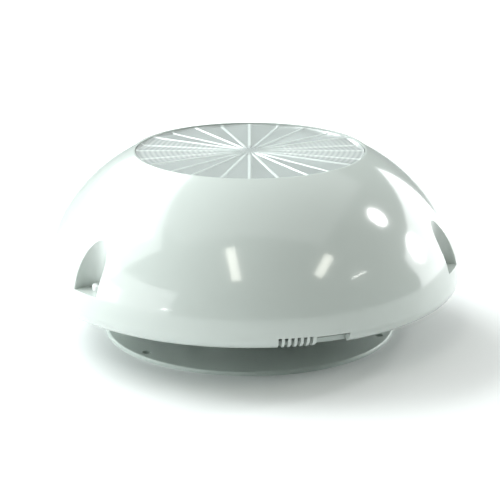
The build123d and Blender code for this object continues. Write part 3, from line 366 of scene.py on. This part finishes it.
FINISHES = {
    "white_cover": cover_white(),
    "clear_lens": lens_clear(),
    "tube_glass": tube_glass(),
    "mirror_reflector": plated_mirror(),
    "circuit_board": circuit_green(),
    "copper_winding": wound_copper(),
    "grey_base": moulded_plastic(
        "base_grey", pale=(0.52, 0.58, 0.545), dark=(0.46, 0.52, 0.485), roughness=0.3,
        grain_scale=1100.0, grain_depth=0.03 * MM, coat=0.15),
    "grey_moulding": moulded_plastic(
        "bell_grey", pale=(0.5, 0.52, 0.51), dark=(0.43, 0.45, 0.44), roughness=0.38,
        grain_scale=900.0, grain_depth=0.05 * MM),
    "white_chassis": moulded_plastic(
        "chassis_white", pale=(0.76, 0.79, 0.78), dark=(0.7, 0.73, 0.72), roughness=0.35,
        grain_scale=900.0, grain_depth=0.05 * MM),
    "white_holder": moulded_plastic(
        "holder_white", pale=(0.8, 0.8, 0.75), dark=(0.72, 0.71, 0.66), roughness=0.45,
        grain_scale=1300.0, grain_depth=0.04 * MM),
    "black_moulding": moulded_plastic(
        "black_moulding", pale=(0.03, 0.03, 0.033), dark=(0.018, 0.018, 0.02), roughness=0.42,
        grain_scale=1500.0, grain_depth=0.06 * MM),
    "black_rubber": moulded_plastic(
        "black_rubber", pale=(0.03, 0.03, 0.03), dark=(0.015, 0.015, 0.015), roughness=0.68,
        grain_scale=700.0, grain_depth=0.08 * MM),
    "seal_foam": moulded_plastic(
        "seal_foam", pale=(0.07, 0.07, 0.07), dark=(0.03, 0.03, 0.03), roughness=0.85,
        grain_scale=2400.0, grain_depth=0.2 * MM),
    "ferrite": moulded_plastic(
        "ferrite", pale=(0.06, 0.06, 0.065), dark=(0.035, 0.035, 0.04), roughness=0.6,
        grain_scale=800.0, grain_depth=0.1 * MM),
    "amber_film": moulded_plastic(
        "amber_film", pale=(0.68, 0.34, 0.07), dark=(0.5, 0.22, 0.04), roughness=0.22,
        grain_scale=500.0, grain_depth=0.03 * MM),
    "red_lead": moulded_plastic(
        "red_lead", pale=(0.52, 0.03, 0.03), dark=(0.36, 0.02, 0.02), roughness=0.35,
        grain_scale=900.0, grain_depth=0.03 * MM),
    "red_plunger": moulded_plastic(
        "red_plunger", pale=(0.6, 0.05, 0.04), dark=(0.45, 0.03, 0.03), roughness=0.28,
        grain_scale=1200.0, grain_depth=0.03 * MM),
    "green_terminal": moulded_plastic(
        "terminal_green", pale=(0.05, 0.33, 0.13), dark=(0.03, 0.24, 0.09), roughness=0.4,
        grain_scale=1200.0, grain_depth=0.04 * MM),
    "transformer_tape": moulded_plastic(
        "transformer_tape", pale=(0.66, 0.53, 0.1), dark=(0.5, 0.4, 0.06), roughness=0.32,
        grain_scale=600.0, grain_depth=0.05 * MM),
    "capacitor_sleeve": moulded_plastic(
        "capacitor_sleeve", pale=(0.04, 0.05, 0.16), dark=(0.02, 0.025, 0.1), roughness=0.25,
        grain_scale=700.0, grain_depth=0.03 * MM, coat=0.2),
    "screen_metal": moulded_plastic(
        "screen_coat", pale=(0.11, 0.12, 0.12), dark=(0.07, 0.08, 0.08), roughness=0.5,
        grain_scale=1700.0, grain_depth=0.08 * MM),
    "plated_steel": turned_metal(
        "plated_steel", pale=(0.66, 0.66, 0.63), dark=(0.5, 0.5, 0.48), roughness=0.28, scratch_scale=500.0),
    "bare_steel": turned_metal(
        "bare_steel", pale=(0.52, 0.52, 0.52), dark=(0.36, 0.36, 0.35), roughness=0.35, scratch_scale=700.0),
    "bare_aluminium": turned_metal(
        "bare_aluminium", pale=(0.7, 0.71, 0.72), dark=(0.55, 0.56, 0.57), roughness=0.32,
        scratch_scale=600.0),
    "brass_spacer": turned_metal(
        "brass_spacer", pale=(0.78, 0.58, 0.26), dark=(0.58, 0.4, 0.16), roughness=0.3, scratch_scale=500.0),
}
NODE_SLOTS = {entry["node"]: entry["material_slot"] for entry in frame["record"]["subparts"]}
BODY_NODES = frame["record"]["behaviour"]["bodies"]
NODE_BODIES = {node: body for body, nodes in BODY_NODES.items() for node in nodes}


# ---------------------------------------------------------------- pieces

def link_piece(name, mesh, node):
    """Put a finished mesh in the scene in place of a CAD node."""
    piece = bpy.data.objects.new(name, mesh)
    bpy.context.scene.collection.objects.link(piece)
    slot = NODE_SLOTS[node]
    mesh.materials.clear()
    mesh.materials.append(FINISHES[slot])
    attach(piece, NODE_BODIES[node])
    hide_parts(node)
    return piece


def merged_copy(node):
    """A copy of a CAD node's mesh with its triangles joined, smooth except where it really has an edge."""
    work = bmesh.new()
    work.from_mesh(frame["nodes"][node].data)
    bmesh.ops.remove_doubles(work, verts=work.verts, dist=MERGE_DISTANCE)
    bmesh.ops.dissolve_degenerate(work, edges=work.edges, dist=SHORTEST_EDGE)
    for face in work.faces:
        face.smooth = True
    limit = math.radians(CREASE_DEGREES)
    for edge in work.edges:
        edge.smooth = len(edge.link_faces) == 2 and edge.calc_face_angle(0.0) < limit
    mesh = bpy.data.meshes.new(node + "_finished")
    work.to_mesh(mesh)
    work.free()
    return mesh


def make_cover():
    """The dome, with its skin's normals taken from its section, so that reflections run clean."""
    mesh = merged_copy("dome_cover")
    normals = np.zeros(len(mesh.loops) * 3)
    mesh.corner_normals.foreach_get("vector", normals)
    normals = normals.reshape(-1, 3)
    for face in mesh.polygons:
        for loop in face.loop_indices:
            point = mesh.vertices[mesh.loops[loop].vertex_index].co
            radius = math.hypot(point.x, point.y)
            if radius < np.interp(point.z, SKIN_HEIGHTS, SKIN_RADII) - SKIN_DEPTH:
                continue
            lean = np.interp(point.z, SKIN_HEIGHTS, SKIN_LEANS)
            level = math.sqrt(1.0 - lean * lean) / radius
            smooth = Vector((point.x * level, point.y * level, lean))
            if smooth.dot(face.normal) > SKIN_AGREEMENT:
                normals[loop] = smooth
    mesh.normals_split_custom_set([tuple(normal) for normal in normals])
    link_piece("dome_cover_skin", mesh, "dome_cover")


def spin_profile(name, outline, steps):
    """A closed shell turned round the Z axis from a list of (radius, height) corners."""
    turns = [2.0 * math.pi * step / steps for step in range(steps)]
    work = bmesh.new()
    rows = []
    for radius, height in outline:
        if radius == 0:
            rows.append([work.verts.new((0, 0, height))] * steps)
        else:
            rows.append([work.verts.new((radius * math.cos(turn), radius * math.sin(turn), height))
                         for turn in turns])
    for first, second in zip(rows, rows[1:] + rows[:1]):
        for step in range(steps):
            after = (step + 1) % steps
            corners = list(dict.fromkeys([first[step], first[after], second[after], second[step]]))
            if len(corners) > 2:
                work.faces.new(corners)
    bmesh.ops.recalc_face_normals(work, faces=work.faces)
    mesh = bpy.data.meshes.new(name)
    work.to_mesh(mesh)
    work.free()
    return mesh


def flute_tree():
    """Geometry nodes that press V flutes into the top of the lens, with a thin rib along every fold."""
    tree = bpy.data.node_groups.new("lens_flutes", "GeometryNodeTree")
    for name, kind in (("Geometry", "NodeSocketGeometry"), ("Top", "NodeSocketFloat"),
                       ("Radius", "NodeSocketFloat"), ("Depth", "NodeSocketFloat"),
                       ("Flutes", "NodeSocketFloat"), ("Rib Width", "NodeSocketFloat"),
                       ("Rib Height", "NodeSocketFloat"), ("Hub", "NodeSocketFloat"),
                       ("Finish", "NodeSocketMaterial")):
        tree.interface.new_socket(name, in_out="INPUT", socket_type=kind)
    tree.interface.new_socket("Geometry", in_out="OUTPUT", socket_type="NodeSocketGeometry")
    bench = Bench(tree)
    given = bench.node("NodeGroupInput")
    place = bench.node("GeometryNodeInputPosition").out(0)
    parts = bench.node("ShaderNodeSeparateXYZ", None, {"Vector": place})
    reach, folds, from_fold = flute_layout(parts.out("X"), parts.out("Y"), given.out("Flutes"))
    groove = folds.zigzag(1.0)
    rib = (1.0 - (from_fold / given.out("Rib Width")).power(2.0)).at_least(0.0)
    edge = ((given.out("Radius") - reach) / EDGE_BAND).at_most(1.0)
    middle = (reach / given.out("Hub")).power(2.0).at_most(1.0)
    flute = given.out("Depth") * groove * (reach / given.out("Radius"))
    drop = flute + given.out("Rib Height") * (1.0 - rib)
    on_top = parts.out("Z") > (given.out("Top") - 0.01 * MM)
    offset = bench.node("ShaderNodeCombineXYZ", None, {"Z": drop * edge * middle * -1.0}).out(0)
    moved = bench.node("GeometryNodeSetPosition", None,
                       {"Geometry": given.out("Geometry"), "Selection": on_top, "Offset": offset}).out(0)
    whole = bench.node("GeometryNodeRealizeInstances", None, {"Geometry": moved}).out(0)
    finished = bench.node("GeometryNodeSetMaterial", None,
                          {"Geometry": whole, "Material": given.out("Finish")}).out(0)
    bench.node("NodeGroupOutput", None, {"Geometry": finished})
    return tree


def lens_outline():
    """Section of the lens: a fluted top, a plain edge, the skirt, and rings cut in the underside."""
    low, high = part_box("strobe_lens")
    top, radius = high.z, high.x
    under = top - LENS_THICKNESS
    skirt_outer = radius - SKIRT_INSET
    skirt_inner = skirt_outer - SKIRT_WALL
    bead_outer, bead_top = skirt_outer + BEAD_DEPTH, low.z + BEAD_HEIGHT
    outline = [(radius * row / TOP_ROWS, top) for row in range(TOP_ROWS)]
    outline += [(radius - EDGE_BAND, top), (radius - EDGE_CHAMFER, top), (radius, top - EDGE_CHAMFER)]
    outline += [(radius, under), (skirt_outer, under), (skirt_outer, bead_top + BEAD_DEPTH)]
    outline += [(bead_outer, bead_top), (bead_outer, low.z), (skirt_inner, low.z), (skirt_inner, under)]
    for ring in reversed(range(RING_COUNT)):
        outline += [(RING_START + RING_PITCH * (ring + 1), under),
                    (RING_START + RING_PITCH * (ring + 0.5), under + RING_DEPTH)]
    outline += [(RING_START, under), (BOSS_RADIUS, under)]
    outline += [(BOSS_RADIUS - BOSS_TAPER, under - BOSS_DEPTH), (0, under - BOSS_DEPTH)]
    return outline, top, radius


def set_inputs(modifier, values):
    """Give a geometry-nodes modifier its inputs, by each socket's identifier."""
    for item in modifier.node_group.interface.items_tree:
        if item.item_type == "SOCKET" and item.in_out == "INPUT" and item.name in values:
            modifier[item.identifier] = values[item.name]


def make_lens():
    """The lens: a turned blank, fluted by the geometry nodes."""
    outline, top, radius = lens_outline()
    blank = bpy.data.objects.new("lens_blank", spin_profile("lens_blank", outline, LENS_STEPS))
    bpy.context.scene.collection.objects.link(blank)
    modifier = blank.modifiers.new("flutes", "NODES")
    modifier.node_group = flute_tree()
    set_inputs(modifier, {"Top": top, "Radius": radius, "Depth": FLUTE_DEPTH, "Flutes": float(LENS_FLUTES),
                          "Rib Width": RIB_WIDTH, "Rib Height": RIB_HEIGHT, "Hub": HUB_RADIUS,
                          "Finish": FINISHES["clear_lens"]})
    graph = bpy.context.evaluated_depsgraph_get()
    mesh = bpy.data.meshes.new_from_object(blank.evaluated_get(graph))
    bpy.data.objects.remove(blank)
    link_piece("strobe_lens_fluted", mesh, "strobe_lens")


make_cover()
make_lens()
for node_name in sorted(frame["nodes"]):
    if node_name not in ("dome_cover", "strobe_lens"):
        link_piece(node_name + "_finished", merged_copy(node_name), node_name)


# ---------------------------------------------------------------- floor, lights and camera

def floor_finish():
    """A pale, very slightly mottled surface."""
    material, bench, place, shader = new_finish("pale_floor", {"Roughness": 0.6})
    mottle = bench.noise(place, 5.0, 2.0, 0.5)
    tint = bench.mix_colour(mottle, colour(0.86, 0.87, 0.87), colour(0.89, 0.9, 0.9))
    link(bench, tint, shader, "Base Color")
    return material


def make_floor():
    """A pale floor under the object, curving up far behind it."""
    half = 3.0
    section = [(-2.5, 0.0), (2.2, 0.0), (3.2, 0.05), (4.0, 0.35), (4.6, 1.0), (5.0, 2.5)]
    work = bmesh.new()
    left = [work.verts.new((-half, y, z)) for y, z in section]
    right = [work.verts.new((half, y, z)) for y, z in section]
    for step in range(len(section) - 1):
        work.faces.new((left[step], right[step], right[step + 1], left[step + 1]))
    mesh = bpy.data.meshes.new("floor")
    work.to_mesh(mesh)
    work.free()
    for face in mesh.polygons:
        face.use_smooth = True
    mesh.materials.append(floor_finish())
    floor = bpy.data.objects.new("floor", mesh)
    bpy.context.scene.collection.objects.link(floor)


# Colours of the lamps, and the point that the big ones face
PLAIN = (1.0, 1.0, 1.0)
CEILING_TINT = (0.97, 1.0, 0.99)
WINDOW_TINT = (0.95, 1.0, 1.0)
LOW_WINDOW_TINT = (0.96, 1.0, 1.0)
SIDE_TINT = (0.97, 1.0, 1.0)
TUBE_TINT = (1.0, 1.0, 0.9)
LAMP_TINT = (1.0, 1.0, 0.95)
BODY_MIDDLE = (0.0, 0.0, 0.06)


def panel(name, azimuth, elevation, distance, width, height, watts, tint=PLAIN, aim=BODY_MIDDLE, roll=0.0):
    """A soft lamp at this azimuth from the front (-Y towards +X) and elevation, facing the aim.

    It is a rectangle, or a disk where the height is None."""
    turn, lift = math.radians(azimuth), math.radians(elevation)
    direction = Vector((math.sin(turn) * math.cos(lift), -math.cos(turn) * math.cos(lift), math.sin(lift)))
    lamp = bpy.data.lights.new(name, "AREA")
    lamp.size = width
    if height is None:
        lamp.shape = "DISK"
    else:
        lamp.shape = "RECTANGLE"
        lamp.size_y = height
    lamp.energy = watts
    lamp.color = tint
    holder = bpy.data.objects.new(name, lamp)
    bpy.context.scene.collection.objects.link(holder)
    holder.location = Vector(aim) + direction * distance
    turned = direction.to_track_quat("Z", "Y") @ Quaternion((0, 0, 1), math.radians(roll))
    holder.rotation_euler = turned.to_euler()


# Where on the cover each small lamp is mirrored
SPOTS = {
    "front_tube": (-0.008, -0.102, 0.068),
    "side_tube": (0.036, -0.097, 0.066),
    "low_lamp": (0.055, -0.094, 0.057),
    "round_lamp": (0.065, -0.064, 0.081),
    "low_round_lamp": (0.085, -0.061, 0.064),
    "table_glint": (-0.042, -0.105, 0.048),
}


def make_light():
    """A big window to the left, a soft ceiling, a weaker window to the right, and small ceiling lamps."""
    world = bpy.data.worlds.new("studio")
    bpy.context.scene.world = world
    world.use_nodes = True
    background = world.node_tree.nodes["Background"]
    background.inputs["Color"].default_value = colour(0.84, 0.92, 0.88)
    background.inputs["Strength"].default_value = 0.16
    panel("ceiling", azimuth=180, elevation=80, distance=1.8, width=2.6, height=2.2, watts=13.0,
          tint=CEILING_TINT)
    panel("left_window", azimuth=-121, elevation=38, distance=1.5, width=2.2, height=1.2, watts=28.0,
          tint=WINDOW_TINT)
    panel("left_window_middle", azimuth=-125, elevation=40, distance=1.5, width=1.7, height=0.9, watts=20.0,
          tint=WINDOW_TINT)
    panel("left_low_window", azimuth=-104, elevation=2, distance=1.5, width=1.9, height=0.8, watts=16.0,
          tint=LOW_WINDOW_TINT)
    panel("left_front_fill", azimuth=-64, elevation=13, distance=1.7, width=1.4, height=0.9, watts=10.0,
          tint=SIDE_TINT)
    panel("right_window", azimuth=126, elevation=8, distance=1.7, width=1.6, height=0.95, watts=19.0,
          tint=SIDE_TINT)
    panel("front_tube", azimuth=-13, elevation=53, distance=1.4, width=0.11, height=0.52, watts=1.8,
          tint=TUBE_TINT, aim=SPOTS["front_tube"], roll=18)
    panel("side_tube", azimuth=52, elevation=44, distance=1.4, width=0.11, height=0.36, watts=1.25,
          tint=TUBE_TINT, aim=SPOTS["side_tube"], roll=-58)
    panel("low_lamp", azimuth=69, elevation=32, distance=1.5, width=0.24, height=0.02, watts=0.26,
          tint=LAMP_TINT, aim=SPOTS["low_lamp"], roll=-5)
    panel("round_lamp", azimuth=115, elevation=38.5, distance=1.5, width=0.25, height=None, watts=3.4,
          aim=SPOTS["round_lamp"])
    panel("low_round_lamp", azimuth=115, elevation=18.6, distance=1.5, width=0.3, height=None, watts=3.8,
          aim=SPOTS["low_round_lamp"])
    panel("table_glint", azimuth=-45, elevation=6, distance=1.4, width=0.16, height=0.012, watts=0.3,
          aim=SPOTS["table_glint"])


def make_camera():
    """The eye stands a metre in front and looks down at the object."""
    sensor_width, focal_length = 36.0, 133.15
    eye, downward_degrees = (0.0, -0.9742, 0.3433), 17.09
    lens = bpy.data.cameras.new("camera")
    lens.sensor_width = sensor_width
    lens.lens = focal_length
    lens.clip_start = 0.01
    camera = bpy.data.objects.new("camera", lens)
    bpy.context.scene.collection.objects.link(camera)
    camera.location = eye
    camera.rotation_euler = (math.radians(90.0 - downward_degrees), 0.0, 0.0)
    bpy.context.scene.camera = camera


make_floor()
make_light()
make_camera()
bpy.context.scene.view_settings.view_transform = "Standard"
